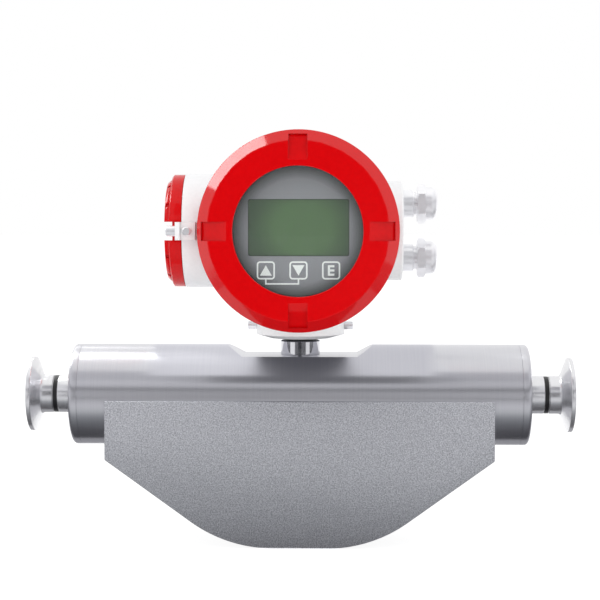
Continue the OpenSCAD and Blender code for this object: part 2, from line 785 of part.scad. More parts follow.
// Slotted plate, drawn clear of the terminal cover so that the cover can be turned
module cover_lock_plate() color(white) at_head() rotate([0, -90, 0])
    translate([0, 0, terminal_reach + slip]) linear_extrude(lock_plate_t) difference() {
        translate([0, -(lock_plate_in + lock_plate_out) / 2])
            rounded_rect(lock_w, lock_plate_out - lock_plate_in, 0.8);
        hole = lock_shank_d + 2 * run_gap;
        for (y = [0, lock_travel]) translate([0, -lock_screw_y - y]) circle(d = hole);
        translate([-hole / 2, -lock_screw_y - lock_travel]) square([hole, lock_travel]);
    }

// ---------------------------------------------------------------- display and electronics

// Repeats its children at the four posts that carry the boards
module at_posts() for (i = [0:3]) rotate([0, 0, 45 + i * 90]) translate([post_radius, 0, 0]) children();

// Grey panel with the screen opening
module display_bezel() color(panel_grey) at_head() facing_front(panel_back) difference() {
    cylinder(h = panel_t, r = panel_r);
    translate([0, screen_rise, -cut]) linear_extrude(panel_t + 2 * cut) rounded_rect(screen_w, screen_h, 1.4);
    at_posts() translate([0, 0, -cut]) cylinder(h = panel_t + 2 * cut, d = post_stud_d + 2 * slip);
}

// Liquid crystal module between the panel and its board
module lcd_module() color([0.36, 0.48, 0.33]) at_head()
    facing_front(display_board_y + board_t) translate([0, screen_rise, 0]) {
        linear_extrude(lcd_depth) square([screen_w + 2 * lcd_border, screen_h + 2 * lcd_border], center = true);
        linear_extrude(lcd_depth + 0.8) rounded_rect(screen_w - 0.4, screen_h - 0.4, 1.2);
    }

// Outline of a key mark: rounded frame
module key_frame() difference() {
    rounded_rect(key_w, key_w, key_corner);
    rounded_rect(key_w - 2 * key_line, key_w - 2 * key_line, key_corner - key_line);
}

module up_arrow() polygon([[-0.33 * key_w, -0.29 * key_w], [0.33 * key_w, -0.29 * key_w], [0, 0.29 * key_w]]);

// Letter made of an upright and three bars
module enter_letter() {
    h = 0.58 * key_w;
    w = 0.36 * key_w;
    stroke = 0.12 * key_w;
    translate([-w / 2, -h / 2]) square([stroke, h]);
    for (y = [0, (h - stroke) / 2, h - stroke]) translate([-w / 2, y - h / 2]) square([w, stroke]);
}

// White marks over the three optical keys, and the line that pairs the first two
module key_marks() color(white) at_head() facing_front(panel_front) linear_extrude(mark_t)
    translate([0, -key_drop]) {
        for (x = [-key_pitch, 0, key_pitch]) translate([x, 0]) key_frame();
        translate([-key_pitch, 0]) up_arrow();
        mirror([0, 1]) up_arrow();
        translate([key_pitch, 0]) enter_letter();
        for (x = [-key_pitch, 0]) translate([x, -key_w / 2 - 1.3]) square([key_line, 3], center = true);
        translate([-key_pitch / 2, -key_w / 2 - 2.8]) square([key_pitch + key_line, key_line], center = true);
    }

// Four screws through the panel
module bezel_screws() color(nickel) at_head() facing_front(panel_front) at_posts() {
    cylinder(h = 1.6, d = 5.4);
    translate([0, 0, -panel_t]) cylinder(h = panel_t, d = post_stud_d);
}

// Round circuit board with holes for the posts; parts on it are given in steps of the grid,
// as [x, y, w, h, height]
module board_shape(y, parts) facing_front(y) {
    difference() {
        cylinder(h = board_t, r = board_r);
        at_posts() translate([0, 0, -cut]) cylinder(h = board_t + 2 * cut, d = post_stud_d + 2 * slip);
    }
    for (p = parts * board_grid) translate([p[0], p[1], board_t + p[4] / 2])
        cube([p[2], p[3], p[4]], center = true);
}

// Display board with a sensor behind each key
module display_board() color(board_green) at_head() {
    x = key_pitch / board_grid;
    y = -key_drop / board_grid;
    board_shape(display_board_y, [[-x, y, 3, 2, 1], [0, y, 3, 2, 1], [x, y, 3, 2, 1],
        [0, screen_h / 2 / board_grid + 6, 11, 2.5, 1.5]]);
}

module main_board() color(board_green) at_head()
    board_shape(main_board_y, [[0, 4, 10, 10, 0.8], [-13, 5, 5, 5, 0.8], [12, 6, 6, 4, 1],
        [11, -7, 4, 7, 1.5], [-10, -9, 8, 3, 2.5], [2, -14, 12, 2.5, 4]]);

// Power supply board with its transformer and round capacitors
module power_board() color(board_green) at_head() {
    board_shape(power_board_y, [[-9, 6, 12, 10, 7.5], [10, -13, 9, 4, 5], [-7, -14, 6, 4, 4]]);
    facing_front(power_board_y + board_t) for (p = [[8, 10], [15, 7], [8, 1]] * board_grid)
        translate([p[0], p[1], 0]) cylinder(h = 7 * board_grid, d = 5 * board_grid);
}

// One post of a board: hexagon with a stud through the board in front of it
module post(from, to) translate([0, 0, from]) {
    difference() {
        cylinder(h = to - from, d = post_af / cos(30), $fn = 6);
        translate([0, 0, -cut]) cylinder(h = 4 + cut, d = post_stud_d + 2 * slip);
    }
    translate([0, 0, to - from]) cylinder(h = board_t + 3, d = post_stud_d);
}

// Posts from the housing's rear wall up to the panel
module board_posts() color(nickel) at_head() rotate([90, 0, 0]) at_posts() {
    post(cavity_floor, power_board_y);
    post(power_board_y + board_t, main_board_y);
    post(main_board_y + board_t, display_board_y);
    translate([0, 0, display_board_y + board_t]) difference() {
        cylinder(h = panel_back - display_board_y - board_t, d = post_af / cos(30), $fn = 6);
        translate([0, 0, -cut]) cylinder(h = 4 + cut, d = post_stud_d + 2 * slip);
    }
}

// ---------------------------------------------------------------- terminals

// Plastic block on the compartment's floor, with a wire hole and a screw well for each terminal
module terminal_block() color([0.14, 0.42, 0.24]) at_head() translate([-terminal_floor, 0, 0]) rotate([0, -90, 0])
    difference() {
        translate([-terminal_count * terminal_pitch / 2 - 1, -block_w / 2, 0])
            cube([terminal_count * terminal_pitch + 2, block_w, block_h]);
        for (i = [0:terminal_count - 1]) translate([(i - (terminal_count - 1) / 2) * terminal_pitch, 0, 0]) {
            translate([0, 0, block_h - 5]) cylinder(h = 5 + cut, d = 4.2);
            translate([0, -block_w / 2 - cut, 3]) rotate([-90, 0, 0]) cylinder(h = 5, d = 3.6);
        }
    }

module terminal_screws() color(nickel) at_head() translate([-terminal_floor, 0, 0]) rotate([0, -90, 0])
    for (i = [0:terminal_count - 1]) translate([(i - (terminal_count - 1) / 2) * terminal_pitch, 0, block_h - 5])
        difference() {
            cylinder(h = 3.2, d = 4);
            translate([0, 0, 3]) cube([5, 0.8, 1.6], center = true);
        }

// ---------------------------------------------------------------- front cover

// Wedge that cuts one wrench slot: shallow at the window, deep behind the rim, along +X
module slot_wedge() {
    inner = window_d / 2 + slot_inset;
    outer = cover_r - slot_rim;
    rotate([90, 0, 0]) linear_extrude(slot_w, center = true) polygon([
        [inner, cover_front + 0.01], [outer, cover_front - slot_depth], [outer, cover_front + cut],
        [inner, cover_front + cut]
    ]);
}

// Flat ground across the sloping band, in the middle of a twelfth of the cover
module grip_flat() {
    face_r = cover_face_d / 2;
    slope = atan2(cover_slope_h, cover_r - face_r);
    translate([face_r - grip_flat_depth, 0, cover_front]) rotate([0, slope, 0])
        translate([-2, -cover_r / 2, 0]) cube([2 * cover_r, cover_r, cover_r]);
}

// Cover ring: skirt with the thread, sloping band with grip flats, front face with four
// wrench slots, and a pocket for the glass and its retainer behind the window
module front_cover() color(red) at_head() rotate([90, 0, 0]) difference() {
    rotate_extrude() polygon([
        [cover_thread_r + seal_d + 0.2, cover_rear], [cover_r - 0.6, cover_rear], [cover_r, cover_rear + 0.6],
        [cover_r, cover_front - cover_slope_h], [cover_face_d / 2, cover_front],
        [window_d / 2 + 1.5, cover_front], [window_d / 2, cover_front - 1.5],
        [window_d / 2, glass_front], [glass_r, glass_front], [glass_r, cover_seat], [cover_thread_r, cover_seat],
        [cover_thread_r, cover_rear + seal_d + 0.2], [cover_thread_r + seal_d + 0.2, cover_rear + seal_d + 0.2]
    ]);
    for (i = [0:3]) rotate([0, 0, i * 90]) slot_wedge();
    for (i = [0:11]) rotate([0, 0, 15 + i * 30]) grip_flat();
}

module window_glass() color([0.80, 0.88, 0.90, 0.35]) at_head()
    facing_front(glass_back) cylinder(h = glass_t, r = glass_r - slip);

// Threaded ring that holds the glass, with two key holes
module glass_retainer() color(steel) at_head() facing_front(glass_back - retainer_t) difference() {
    cylinder(h = retainer_t, r = glass_r - slip);
    translate([0, 0, -cut]) cylinder(h = retainer_t + 2 * cut, r = window_d / 2 + 0.6);
    for (side = [-1, 1]) translate([side * (window_d / 2 + 2.8), 0, -cut]) cylinder(h = 2, d = 2.2);
}

// Round seal in the rabbet at the rear of the cover
module front_cover_seal() color(black) at_head() rotate([90, 0, 0]) rotate_extrude()
    translate([cover_thread_r + seal_d / 2 + slip, cover_rear + seal_d / 2 + slip]) circle(d = seal_d, $fn = 32);

// ---------------------------------------------------------------- terminal cover

// Profile points are [radius, distance from the middle of the transmitter].
// Cup with a band, a raised ring with grip notches, four wrench slots and a thread behind
module terminal_cover() color(red) at_head() rotate([0, -90, 0]) {
    band_r = lid_d / 2;
    ring_r = lid_ring_d / 2;
    thread_r = lid_thread_d / 2 - run_gap;
    hollow_r = terminal_bore_d / 2 - 1.5;
    dish_r = ring_r - 4.8;
    ring_top = lid_front + lid_ring_h;
    dish_floor = ring_top - lid_dish;
    difference() {
        rotate_extrude() polygon([
            [hollow_r, lid_rear - lid_thread_length], [thread_r - 0.6, lid_rear - lid_thread_length],
            [thread_r, lid_rear - lid_thread_length + 0.6], [thread_r, lid_rear - 2 - lid_seal_d],
            [thread_r - lid_seal_d, lid_rear - 2 - lid_seal_d], [thread_r - lid_seal_d, lid_rear - 1.8],
            [thread_r, lid_rear - 1.8], [thread_r, lid_rear],
            [band_r - 0.4, lid_rear], [band_r, lid_rear + 0.4], [band_r, lid_front - 1], [band_r - 1, lid_front],
            [ring_r, lid_front], [ring_r, ring_top - 1.8], [ring_r - 1.5, ring_top],
            [dish_r, ring_top], [dish_r, dish_floor], [0, dish_floor], [0, dish_floor - 3.5],
            [hollow_r, dish_floor - 3.5]
        ]);
        for (i = [0:3]) rotate([0, 0, i * 90]) {
            translate([ring_r, -slot_w / 2, lid_rear - cut]) cube([ring_r, slot_w, lid_band + 2 * cut]);
            translate([dish_r - cut, -slot_w / 2, dish_floor]) cube([ring_r, slot_w, 2 * lid_dish]);
        }
        for (i = [0:11]) if (i % 3 != 0) rotate([0, 0, i * 30])
            translate([ring_r - 1.7, -1.4, lid_front + 0.4]) cube([ring_r, 2.8, 2.2]);
    }
}

// Round seal in the groove of the terminal cover's thread
module terminal_cover_seal() color(black) at_head() rotate([0, -90, 0]) rotate_extrude()
    translate([lid_thread_d / 2 - run_gap - lid_seal_d / 2 - 0.02, lid_rear - 1.9 - lid_seal_d / 2])
        circle(d = lid_seal_d - 0.06, $fn = 32);

// ---------------------------------------------------------------- cable glands

// Places its children on a gland's axis, with +X leaving the boss's face
module at_gland(side) at_head() translate([boss_reach, 0, side * gland_z]) children();

// Body: thread in the housing, collar, and the thread that carries the dome nut
module gland_body_shape() {
    thread_r = gland_thread_d / 2;
    collar_r = gland_collar_d / 2;
    turn_x([
        [gland_body_bore / 2, -gland_thread_length], [thread_r - 0.6, -gland_thread_length],
        [thread_r, 0.6 - gland_thread_length], [thread_r, 0.02], [collar_r, 0.02],
        [collar_r, gland_collar - 0.6], [collar_r - 0.6, gland_collar], [thread_r, gland_collar],
        [thread_r, gland_body_end - 0.5], [thread_r - 0.5, gland_body_end],
        [gland_seal_pocket_d / 2, gland_body_end], [gland_seal_pocket_d / 2, gland_seal_back],
        [gland_body_bore / 2, gland_seal_back]
    ]);
}

// Rubber sleeve that closes on the cable, with a flange in front of the body
module gland_seal_shape() turn_x([
    [cable_d / 2, gland_seal_back + slip], [gland_seal_pocket_d / 2 - slip, gland_seal_back + slip],
    [gland_seal_pocket_d / 2 - slip, gland_body_end + slip], [gland_thread_d / 2 - 0.6, gland_body_end + slip],
    [gland_thread_d / 2 - 0.6, gland_body_end + gland_seal_head], [cable_d / 2, gland_body_end + gland_seal_head]
]);

// Slip ring between the seal and the nut
module gland_washer_shape() turn_x([
    [cable_d / 2 + 0.6, gland_washer_end - gland_washer_t], [gland_thread_d / 2 - 0.4, gland_washer_end - gland_washer_t],
    [gland_thread_d / 2 - 0.4, gland_washer_end], [cable_d / 2 + 0.6, gland_washer_end]
]);

// Dome nut: chamfered hexagon and a round-ended dome over the threaded bore
module gland_nut_shape() {
    corner_r = gland_hex_af / 2 / cos(30);
    dome_r = gland_dome_d / 2;
    bore_r = gland_thread_d / 2 + run_gap;
    mouth_r = cable_d / 2 + 1.4;
    hex_end = gland_nut_start + gland_hex;
    round_r = 4.6;
    round_centre = [dome_r - round_r, gland_nut_end - round_r];
    difference() {
        union() {
            intersection() {
                translate([gland_nut_start, 0, 0]) rotate([0, 90, 0]) cylinder(h = gland_hex, r = corner_r, $fn = 6);
                turn_x([
                    [0, gland_nut_start], [corner_r - 1.4, gland_nut_start], [corner_r, gland_nut_start + 0.9],
                    [corner_r, hex_end - 0.9], [corner_r - 1.4, hex_end], [0, hex_end]
                ]);
            }
            turn_x(concat(
                [[0, gland_nut_start + 0.5], [dome_r, gland_nut_start + 0.5]],
                [for (i = [0:10]) round_centre + round_r * [cos(i * 9), sin(i * 9)]],
                [[0, gland_nut_end]]
            ));
        }
        bar_x(gland_nut_start - cut, gland_washer_end + slip, 2 * bore_r);
        bar_x(gland_washer_end, gland_nut_end + cut, 2 * mouth_r);
    }
}

module upper_gland_body() color(nickel) at_gland(1) gland_body_shape();
module lower_gland_body() color(nickel) at_gland(-1) gland_body_shape();
module upper_gland_seal() color(black) at_gland(1) gland_seal_shape();
module lower_gland_seal() color(black) at_gland(-1) gland_seal_shape();
module upper_gland_washer() color(nickel) at_gland(1) gland_washer_shape();
module lower_gland_washer() color(nickel) at_gland(-1) gland_washer_shape();
module upper_gland_nut() color(nickel) at_gland(1) gland_nut_shape();
module lower_gland_nut() color(nickel) at_gland(-1) gland_nut_shape();

sensor_tube();
inlet_end_cap();
outlet_end_cap();
case_front_plate();
case_back_plate();
case_edge_strip();
inlet_stub();
outlet_stub();
inlet_joint_seal();
outlet_joint_seal();
inlet_ferrule();
outlet_ferrule();
inlet_splitter();
outlet_splitter();
front_flow_tube();
back_flow_tube();
inlet_brace_plates();
outlet_brace_plates();
drive_coil();
drive_magnet();
inlet_pickoff_coil();
inlet_pickoff_magnet();
outlet_pickoff_coil();
outlet_pickoff_magnet();
temperature_sensor();
neck_stem();
feedthrough();
neck_gasket();
housing();
neck_clamp_screws();
earth_screw();
cover_lock_screw();
cover_lock_plate();
display_bezel();
lcd_module();
key_marks();
bezel_screws();
display_board();
main_board();
power_board();
board_posts();
terminal_block();
terminal_screws();
front_cover();
window_glass();
glass_retainer();
front_cover_seal();
terminal_cover();
terminal_cover_seal();
upper_gland_body();
lower_gland_body();
upper_gland_seal();
lower_gland_seal();
upper_gland_washer();
lower_gland_washer();
upper_gland_nut();
lower_gland_nut();
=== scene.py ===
# %% [markdown]
# # A coriolis flow meter
# Two bent steel tubes shake inside a welded case, and a small computer on top reads how the
# passing liquid twists them. This file dresses a finished frame of solid parts. The frame holds
# every real shape and size; here each surface gets its finish, pieces that need softer edges are
# made again round the same sizes, and a small studio is set up round them.

# %% Load the frame
import json
import math

import bmesh
import bpy
from mathutils import Matrix, Vector


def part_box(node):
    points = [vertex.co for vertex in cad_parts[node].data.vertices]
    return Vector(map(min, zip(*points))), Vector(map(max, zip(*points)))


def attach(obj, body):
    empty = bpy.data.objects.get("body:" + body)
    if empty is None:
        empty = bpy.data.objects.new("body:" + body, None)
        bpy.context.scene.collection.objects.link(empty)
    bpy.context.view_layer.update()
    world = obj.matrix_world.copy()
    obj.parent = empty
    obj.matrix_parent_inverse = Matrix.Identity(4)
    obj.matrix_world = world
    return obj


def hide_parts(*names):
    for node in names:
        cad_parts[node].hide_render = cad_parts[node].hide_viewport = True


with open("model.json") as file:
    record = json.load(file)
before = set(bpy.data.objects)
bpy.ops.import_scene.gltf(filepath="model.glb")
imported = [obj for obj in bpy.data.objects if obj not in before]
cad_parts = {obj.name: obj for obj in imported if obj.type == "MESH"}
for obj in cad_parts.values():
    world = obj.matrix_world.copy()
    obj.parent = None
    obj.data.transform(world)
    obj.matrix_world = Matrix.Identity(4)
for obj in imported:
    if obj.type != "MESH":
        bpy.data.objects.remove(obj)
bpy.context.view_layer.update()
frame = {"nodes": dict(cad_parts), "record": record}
nodes = frame["nodes"]
body_of = {name: body for body, members in frame["record"]["behaviour"]["bodies"].items()
           for name in members}

# %% [markdown]
# The pipe runs along X and the display looks towards -Y. Most places come from the boxes of the
# parts: the pipe's axis is Z = 0, and the round transmitter is centred on the window glass.

# %% Places used again and again
MM = 0.001
window_low, window_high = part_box("window_glass")
head = (window_low + window_high) / 2
tube_low, tube_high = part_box("sensor_tube")
floor_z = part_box("case_front_plate")[0].z
mid_x = (tube_low.x + tube_high.x) / 2
print("window centre", head, "middle of the meter at x =", round(mid_x, 4))

# %% [markdown]
# ## Camera
# A long lens about a metre away, a little to the right of the middle and a little above the
# pipe, keeps the pipe level and shows hardly any of the top faces. A short lens close by would
# swell the round head and show more of its top.

# %% Camera
aim = Vector((mid_x - 0.0003, 0, 0.0641))
eye = Vector((mid_x + 0.028, -1.0296, 0.118))
camera = bpy.data.objects.new("camera", bpy.data.cameras.new("camera"))
camera.data.sensor_width = 36
camera.data.lens = 91.3
camera.location = eye
camera.rotation_euler = (aim - eye).to_track_quat("-Z", "Y").to_euler()
bpy.context.scene.collection.objects.link(camera)
bpy.context.scene.camera = camera
bpy.context.scene.view_settings.view_transform = "Standard"
print("camera at", eye, "lens", camera.data.lens)

# %% [markdown]
# ## Building materials
# Every finish is a small network of nodes on the Principled shader. One function fills a node's
# inputs with numbers, colours or links, and another adds a node with its settings and fills it,
# so each material reads as a short list. The others start a finish, make spots of a real size,
# blend two colours over them, and put a finish on its parts.

# %% Helpers for materials


def colour(code):
    """An sRGB hex colour as linear red, green, blue and alpha."""
    parts = [int(code[i:i + 2], 16) / 255 for i in (1, 3, 5)]
    return [p / 12.92 if p <= 0.04045 else ((p + 0.055) / 1.055) ** 2.4 for p in parts] + [1.0]


def fill(tree, node, values):
    """Sets inputs to numbers or colours, or links them to other nodes' outputs."""
    for name, value in values.items():
        if isinstance(value, bpy.types.NodeSocket):
            tree.links.new(value, node.inputs[name])
        else:
            node.inputs[name].default_value = value


def add(tree, kind, values=None, **settings):
    """Adds a node with its settings, and fills its inputs."""
    node = tree.nodes.new(kind)
    for name, value in settings.items():
        setattr(node, name, value)
    fill(tree, node, values or {})
    return node


def new_finish(name):
    """A material, its node tree and its Principled shader."""
    material = bpy.data.materials.new(name)
    material.use_nodes = True
    return material, material.node_tree, material.node_tree.nodes["Principled BSDF"]


def spots(tree, size, stretch=(1, 1, 1), detail=3.0):
    """Random spots about size metres across, fixed to the object."""
    place = add(tree, "ShaderNodeTexCoord").outputs["Object"]
    mapping = add(tree, "ShaderNodeMapping", {
        "Vector": place, "Scale": [1 / (size * way) for way in stretch]})
    return add(tree, "ShaderNodeTexNoise", {
        "Vector": mapping.outputs[0], "Scale": 1.0, "Detail": detail, "Roughness": 0.6,
    }).outputs["Fac"]


def two_tones(tree, pattern, low, low_colour, high, high_colour):
    """One colour where a pattern is below low, another above high, and a blend between."""
    share = add(tree, "ShaderNodeMapRange", {
        "Value": pattern, "From Min": low, "From Max": high})
    return add(tree, "ShaderNodeMix", {
        "Factor": share.outputs[0], "A": colour(low_colour), "B": colour(high_colour)},
        data_type="RGBA").outputs["Result"]


def dress(material, *names):
    """Gives solid parts a finish."""
    for name in names:
        nodes[name].data.materials.clear()
        nodes[name].data.materials.append(material)
    print(material.name, "on", ", ".join(names))


# %% [markdown]
# ### Brushed stainless steel
# The sensor tube is drawn pipe, brushed round its axis with a belt. Scratches that run round the
# tube smear reflections along the pipe. Real grooves would take millions of faces, so the shader
# is made anisotropic instead, with its tangent round X. Belt grit leaves lines near 0.05 mm; the
# faint lines are drawn 0.8 mm wide so that they show.

# %% Brushed steel
brushed, tree, shader = new_finish("brushed_stainless")
scratches = spots(tree, 1.0 * MM, stretch=(0.8, 70, 70))
fill(tree, shader, {
    "Base Color": two_tones(tree, scratches, 0.3, "#d3d3d8", 0.7, "#d8d8dc"),
    "Metallic": 1.0,
    "Roughness": add(tree, "ShaderNodeMapRange", {
        "Value": scratches, "To Min": 0.31, "To Max": 0.34}).outputs[0],
    "Anisotropic": 0.85,
    "Anisotropic Rotation": 0.25,
    "Tangent": add(tree, "ShaderNodeTangent", direction_type="RADIAL", axis="X").outputs[0]})
dress(brushed, "sensor_tube", "inlet_end_cap", "outlet_end_cap")

# %% [markdown]
# ### Bead-blasted stainless steel
# The welded case was blasted with glass beads, which leaves an even field of tiny dents and a
# soft, matt grey. A bump shades the dents without any faces for them. Beads leave marks near
# 0.2 mm; they are drawn about 0.8 mm across to show.

# %% Blasted steel
blasted, tree, shader = new_finish("blasted_stainless")
dents = spots(tree, 0.78 * MM, detail=2.0)
fill(tree, shader, {
    "Base Color": two_tones(tree, dents, 0.32, "#b6b7bc", 0.68, "#f8f9fc"),
    "Metallic": 1.0,
    "Roughness": 0.58,
    "Normal": add(tree, "ShaderNodeBump", {
        "Height": dents, "Distance": 0.12 * MM, "Strength": 0.5}).outputs[0]})
dress(blasted, "case_front_plate", "case_back_plate", "case_edge_strip")

# %% [markdown]
# ### Turned stainless steel
# Clamp ferrules and pipe stubs are turned on a lathe and polished, but a faint satin of turning
# marks stays, finer than 0.1 mm and drawn 0.6 mm apart. The marks run round X like the scratches
# on the tube, only finer and softer, so they are made in the same way.

# %% Turned steel
turned, tree, shader = new_finish("turned_stainless")
marks = spots(tree, 0.6 * MM, stretch=(1, 200, 200), detail=2.0)
fill(tree, shader, {
    "Base Color": two_tones(tree, marks, 0.3, "#e4e4e6", 0.7, "#eeeef0"),
    "Metallic": 0.92,
    "Roughness": add(tree, "ShaderNodeMapRange", {
        "Value": marks, "To Min": 0.22, "To Max": 0.28}).outputs[0],
    "Anisotropic": 0.5,
    "Anisotropic Rotation": 0.25,
    "Normal": add(tree, "ShaderNodeBump", {
        "Height": marks, "Distance": 0.01 * MM, "Strength": 0.3}).outputs[0],
    "Tangent": add(tree, "ShaderNodeTangent", direction_type="RADIAL", axis="X").outputs[0]})
dress(turned, "inlet_ferrule", "outlet_ferrule", "inlet_stub", "outlet_stub")

# %% [markdown]
# ### Polished and plain stainless steel
# The neck is polished to a mirror, and a thin haze in patches of 3 mm is all that dulls it. The
# flow tubes and blocks inside keep the duller skin that steel has from the mill.

# %% Polished and plain steel
polished, tree, shader = new_finish("polished_stainless")
haze = spots(tree, 3.0 * MM)
fill(tree, shader, {
    "Base Color": two_tones(tree, haze, 0.3, "#cfcfd3", 0.7, "#d6d6da"),
    "Metallic": 1.0,
    "Roughness": add(tree, "ShaderNodeMapRange", {
        "Value": haze, "To Min": 0.08, "To Max": 0.13}).outputs[0]})
dress(polished, "neck_stem")

plain, tree, shader = new_finish("plain_stainless")
mill_skin = spots(tree, 2.0 * MM)
fill(tree, shader, {
    "Base Color": two_tones(tree, mill_skin, 0.3, "#b0b0b4", 0.7, "#c0c0c4"),
    "Metallic": 1.0,
    "Roughness": add(tree, "ShaderNodeMapRange", {
        "Value": mill_skin, "To Min": 0.28, "To Max": 0.38}).outputs[0]})
dress(plain, "inlet_splitter", "outlet_splitter", "front_flow_tube", "back_flow_tube",
      "inlet_brace_plates", "outlet_brace_plates", "temperature_sensor", "drive_magnet",
      "inlet_pickoff_magnet", "outlet_pickoff_magnet")

# %% [markdown]
# ### Nickel plate
# Cable glands and small screws are nickel-plated brass. The plating is bright and satin, and its
# fine crystals scatter part of the light, so it looks paler than bare steel. A share of diffuse
# light under the metal gives that, and each facet of a nut shows as one soft tone.

# %% Nickel
nickel, tree, shader = new_finish("nickel_plate")
plating = spots(tree, 6 * MM, detail=1.0)
fill(tree, shader, {
    "Base Color": two_tones(tree, plating, 0.3, "#f6f6f8", 0.7, "#fcfcfe"),
    "Metallic": 0.75,
    "Roughness": 0.32})
dress(nickel, "upper_gland_body", "lower_gland_body", "upper_gland_nut", "lower_gland_nut",
      "neck_clamp_screws", "earth_screw", "cover_lock_screw", "bezel_screws", "feedthrough",
      "terminal_screws")

# %% [markdown]
# ### Paint
# Both covers are cast aluminium under a thick red gloss paint, and the housing is powder coated
# in white. Sprayed and baked coats keep a slow wave called orange peel, 2 to 3 mm across and a
# few hundredths deep, and they pull back from sharp edges. A Bevel node rounds the edges in the
# shading alone, and the wave is a bump on top of it.

# %% Red and white coats


def coat(tree, peel, depth, strength, edge):
    """The skin of a paint coat: orange peel over edges that look rounded by edge metres."""
    rounded = add(tree, "ShaderNodeBevel", {"Radius": edge}, samples=4)
    return add(tree, "ShaderNodeBump", {
        "Height": peel, "Distance": depth, "Strength": strength, "Normal": rounded.outputs[0],
    }).outputs[0]


red, tree, shader = new_finish("red_gloss_paint")
peel = spots(tree, 2.6 * MM, detail=1.0)
fill(tree, shader, {
    "Base Color": two_tones(tree, peel, 0.3, "#cf0207", 0.7, "#d50308"),
    "Roughness": 0.09,
    "IOR": 1.5,
    "Specular IOR Level": 0.28,
    "Normal": coat(tree, peel, 0.012 * MM, 0.35, 0.5 * MM)})
dress(red, "front_cover", "terminal_cover")

white, tree, shader = new_finish("white_powder_coat")
peel = spots(tree, 2.0 * MM, detail=1.0)
fill(tree, shader, {
    "Base Color": two_tones(tree, peel, 0.3, "#f3f4f4", 0.7, "#f7f8f8"),
    "Roughness": 0.28,
    "IOR": 1.5,
    "Normal": coat(tree, peel, 0.02 * MM, 0.4, 0.7 * MM)})
dress(white, "housing", "cover_lock_plate")

# %% [markdown]
# ### Rubber and nylon
# Seals are moulded rubber, almost black, with a faint bloom that dulls it in patches. The
# terminal block and the gland washers are moulded nylon, a dark grey with a fine even grain.

# %% Rubber and nylon
rubber, tree, shader = new_finish("black_rubber")
fill(tree, shader, {
    "Base Color": colour("#141416"),
    "Roughness": add(tree, "ShaderNodeMapRange", {
        "Value": spots(tree, 1.0 * MM), "To Min": 0.28, "To Max": 0.4}).outputs[0]})
dress(rubber, "inlet_joint_seal", "outlet_joint_seal", "neck_gasket", "front_cover_seal",
      "terminal_cover_seal", "upper_gland_seal", "lower_gland_seal")

nylon, tree, shader = new_finish("dark_polyamide")
fill(tree, shader, {
    "Base Color": two_tones(tree, spots(tree, 1.0 * MM), 0.3, "#28292c", 0.7, "#303134"),
    "Roughness": 0.5})
dress(nylon, "terminal_block", "upper_gland_washer", "lower_gland_washer")

# %% [markdown]
# ### Copper, brass and aluminium inside
# Coils are wound from lacquered copper wire. A Wave texture with bands across Y stands for the
# turns of wire; it makes a wave every pi / 10 of its own units, and the turns are drawn 0.75 mm
# apart to show. The board posts are turned brass, and the ring that holds the glass is bare cast
# aluminium with a grain of about 1 mm.

# %% Copper, brass and aluminium
turn_pitch = 0.754 * MM
copper, tree, shader = new_finish("copper_winding")
place = add(tree, "ShaderNodeTexCoord").outputs["Object"]
turns = add(tree, "ShaderNodeTexWave", {
    "Vector": place, "Scale": math.pi / 10 / turn_pitch, "Distortion": 0.4},
    bands_direction="Y").outputs["Fac"]
fill(tree, shader, {
    "Base Color": two_tones(tree, turns, 0.0, "#8a4520", 1.0, "#c97238"),
    "Metallic": 1.0,
    "Roughness": 0.35,
    "Normal": add(tree, "ShaderNodeBump", {
        "Height": turns, "Distance": 0.2 * MM, "Strength": 0.6}).outputs[0]})
dress(copper, "drive_coil", "inlet_pickoff_coil", "outlet_pickoff_coil")

brass, tree, shader = new_finish("brass_posts")
fill(tree, shader, {
    "Base Color": two_tones(tree, spots(tree, 2.0 * MM), 0.3, "#d2ab55", 0.7, "#dcb964"),
    "Metallic": 1.0,
    "Roughness": 0.25})
dress(brass, "board_posts")

cast, tree, shader = new_finish("bare_aluminium")
fill(tree, shader, {
    "Base Color": two_tones(tree, spots(tree, 1.0 * MM), 0.3, "#a3a5a8", 0.7, "#b1b3b6"),
    "Metallic": 1.0,
    "Roughness": 0.45})
dress(cast, "glass_retainer")

# %% [markdown]
# ### Circuit boards
# Boards have a glossy green solder mask over copper tracks, which shine through as paler
# patches. They sit behind the panel, so patches of about 4 mm are enough.

# %% Boards
board, tree, shader = new_finish("solder_mask")
tracks = spots(tree, 4.0 * MM, detail=1.0)
fill(tree, shader, {
    "Base Color": two_tones(tree, tracks, 0.45, "#0d5230", 0.55, "#12633c"),
    "Roughness": 0.3})
dress(board, "display_board", "main_board", "power_board")
